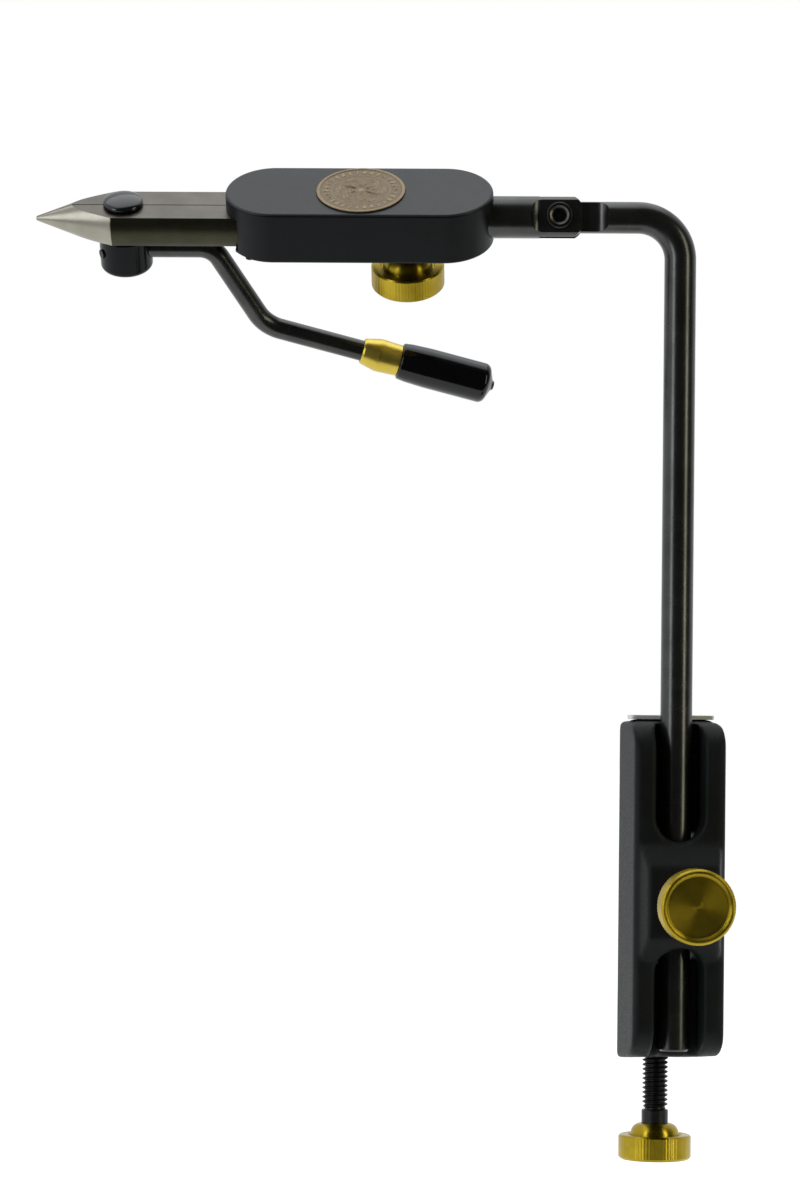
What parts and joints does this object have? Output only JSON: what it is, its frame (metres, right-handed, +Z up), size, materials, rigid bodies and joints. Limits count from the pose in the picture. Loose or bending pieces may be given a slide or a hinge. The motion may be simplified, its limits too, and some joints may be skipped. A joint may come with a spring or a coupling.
{
  "type": "fly tying vise",
  "caption": "Table-clamped vise on a bent stem: a flat housing that rolls about its shank holds two spring jaws, which a bent lever opens by an oval cam.",
  "frame": {"origin": "middle of the clamp's table seat, on the axis of the clamp screw", "axes": "X along the table's edge, -Y towards the person who ties, +Z up"},
  "size_m": [0.2057, 0.0889, 0.3006],
  "materials": {
    "casting": "matt textured black powder coat",
    "oxide": "black oxide",
    "housing": "satin black anodised",
    "jaws": "brushed gunmetal",
    "steel": "bright",
    "brass": "turned and knurled",
    "bronze": "antique bronze",
    "gloss_black": "gloss black",
    "grip": "dipped gloss black"
  },
  "bodies": {
    "clamp": {"clamp_body": "casting", "top_plate": "steel"},
    "pad": {"pressure_pad": "steel"},
    "screw": {"clamp_screw": "oxide", "clamp_screw_knob": "brass"},
    "stem_shoe": {"stem_lock_shoe": "brass"},
    "stem_lock": {"stem_lock_screw": "oxide", "stem_lock_knob": "brass"},
    "stem": {"stem": "oxide"},
    "shank": {"head_shank": "oxide", "knuckle_screw": "oxide"},
    "housing": {"head_housing": "housing", "bottom_cover": "housing", "cover_screws": "oxide", "medallion": "bronze", "jaw_pivot_pins": "steel", "jaw_spring": "steel"},
    "head_shoe": {"head_lock_shoe": "brass"},
    "head_lock": {"head_lock_screw": "oxide", "head_lock_knob": "brass"},
    "near_jaw": {"jaw_near": "jaws"},
    "far_jaw": {"jaw_far": "jaws"},
    "cam": {"cam_shaft": "steel", "cam_button": "gloss_black", "cam_drum": "gloss_black", "lever_set_screw": "steel", "lever_rod": "oxide", "lever_ferrule": "brass", "lever_grip": "grip"}
  },
  "joints": [
    {"name": "pad_slide", "type": "slide", "parent": "clamp", "child": "pad", "axis": [0, 0, 1], "range_m": [-0.0515, 0.0115]},
    {"name": "clamp_screw_turn", "type": "hinge", "parent": "pad", "child": "screw", "pos_m": [0, 0, -0.0178], "axis": [0, 0, 1], "range_deg": [-13150, 2950]},
    {"name": "stem_shoe_slide", "type": "slide", "parent": "clamp", "child": "stem_shoe", "axis": [0, -1, 0], "range_m": [0, 0.0025]},
    {"name": "stem_lock_turn", "type": "hinge", "parent": "stem_shoe", "child": "stem_lock", "pos_m": [0, -0.0385, -0.0415], "axis": [0, -1, 0], "range_deg": [0, 710]},
    {"name": "stem_height", "type": "slide", "parent": "clamp", "child": "stem", "axis": [0, 0, 1], "range_m": [-0.08, 0.035]},
    {"name": "head_tilt", "type": "hinge", "parent": "stem", "child": "shank", "pos_m": [-0.0358, -0.02351, 0.1632], "axis": [0.165, 0.9863, 0], "range_deg": [-40, 100]},
    {"name": "head_roll", "type": "hinge", "parent": "shank", "child": "housing", "pos_m": [-0.0358, -0.02351, 0.1632], "axis": [-0.9863, 0.165, 0], "continuous": true},
    {"name": "head_shoe_slide", "type": "slide", "parent": "housing", "child": "head_shoe", "axis": [0.0982, 0.5867, -0.8039], "range_m": [0, 0.0025]},
    {"name": "head_lock_turn", "type": "hinge", "parent": "head_shoe", "child": "head_lock", "pos_m": [-0.08029, -0.01003, 0.15516], "axis": [0.0982, 0.5867, -0.8039], "range_deg": [0, 710]},
    {"name": "cam_lever", "type": "hinge", "parent": "housing", "child": "cam", "pos_m": [-0.1657, -0.00177, 0.1632], "axis": [-0.0982, -0.5867, 0.8039], "range_deg": [0, 60], "stiffness_Nm_per_rad": 0.5, "springref_deg": -11.46},
    {"name": "near_jaw_turn", "type": "hinge", "parent": "housing", "child": "near_jaw", "pos_m": [-0.12096, -0.01317, 0.16034], "axis": [-0.0982, -0.5867, 0.8039], "range_deg": [0, 1.25], "deforming": ["jaw_spring"]},
    {"name": "far_jaw_turn", "type": "hinge", "parent": "housing", "child": "far_jaw", "pos_m": [-0.11969, -0.00556, 0.16606], "axis": [-0.0982, -0.5867, 0.8039], "range_deg": [-1.25, 0]}
  ],
  "couplings": [
    {"joint": "clamp_screw_turn", "follows": "pad_slide", "rad_per_m": 4453},
    {"joint": "stem_lock_turn", "follows": "stem_shoe_slide", "rad_per_m": 4947.4},
    {"joint": "head_lock_turn", "follows": "head_shoe_slide", "rad_per_m": 4947.4},
    {"joint": "near_jaw_turn", "follows": "cam_lever", "ratio": 0.02},
    {"joint": "far_jaw_turn", "follows": "cam_lever", "ratio": -0.02}
  ]
}
